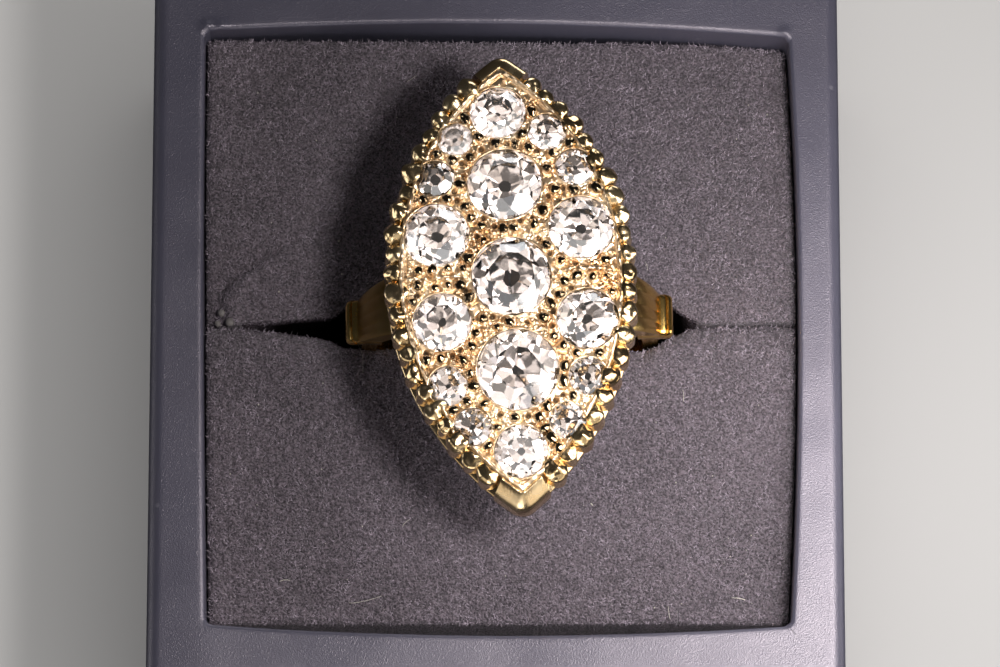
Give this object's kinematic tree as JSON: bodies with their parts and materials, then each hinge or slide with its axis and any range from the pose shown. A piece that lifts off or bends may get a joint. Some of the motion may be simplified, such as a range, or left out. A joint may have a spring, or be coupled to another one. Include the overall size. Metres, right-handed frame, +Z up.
{
  "type": "diamond ring in a ring box",
  "caption": "Navette cluster ring of old-cut stones in a scalloped gold mount, held upright in the slot of a padded ring box base.",
  "frame": {"origin": "middle of the box base's underside, on the surface it stands on", "axes": "+Z up out of the open box, +X along the slot to the right, +Y to the back of the box, along the finger hole and the head's length"},
  "size_m": [0.045, 0.047, 0.0354],
  "materials": {
    "gold": "polished yellow gold, worn bright on the high points",
    "leatherette": "slate grey paper leatherette with a fine satin grain",
    "suede": "charcoal flocked suede with a short curly nap",
    "stones": "clear old-cut diamond, polished facets"
  },
  "bodies": {
    "root": {"gold_mount": "gold", "box_shell": "leatherette", "pad_back": "suede", "pad_front": "suede", "stone_01": "stones", "stone_02": "stones", "stone_03": "stones", "stone_04": "stones", "stone_05": "stones", "stone_06": "stones", "stone_07": "stones", "stone_08": "stones", "stone_09": "stones", "stone_10": "stones", "stone_11": "stones", "stone_12": "stones", "stone_13": "stones", "stone_14": "stones", "stone_15": "stones", "stone_16": "stones", "stone_17": "stones"}
  },
  "joints": []
}
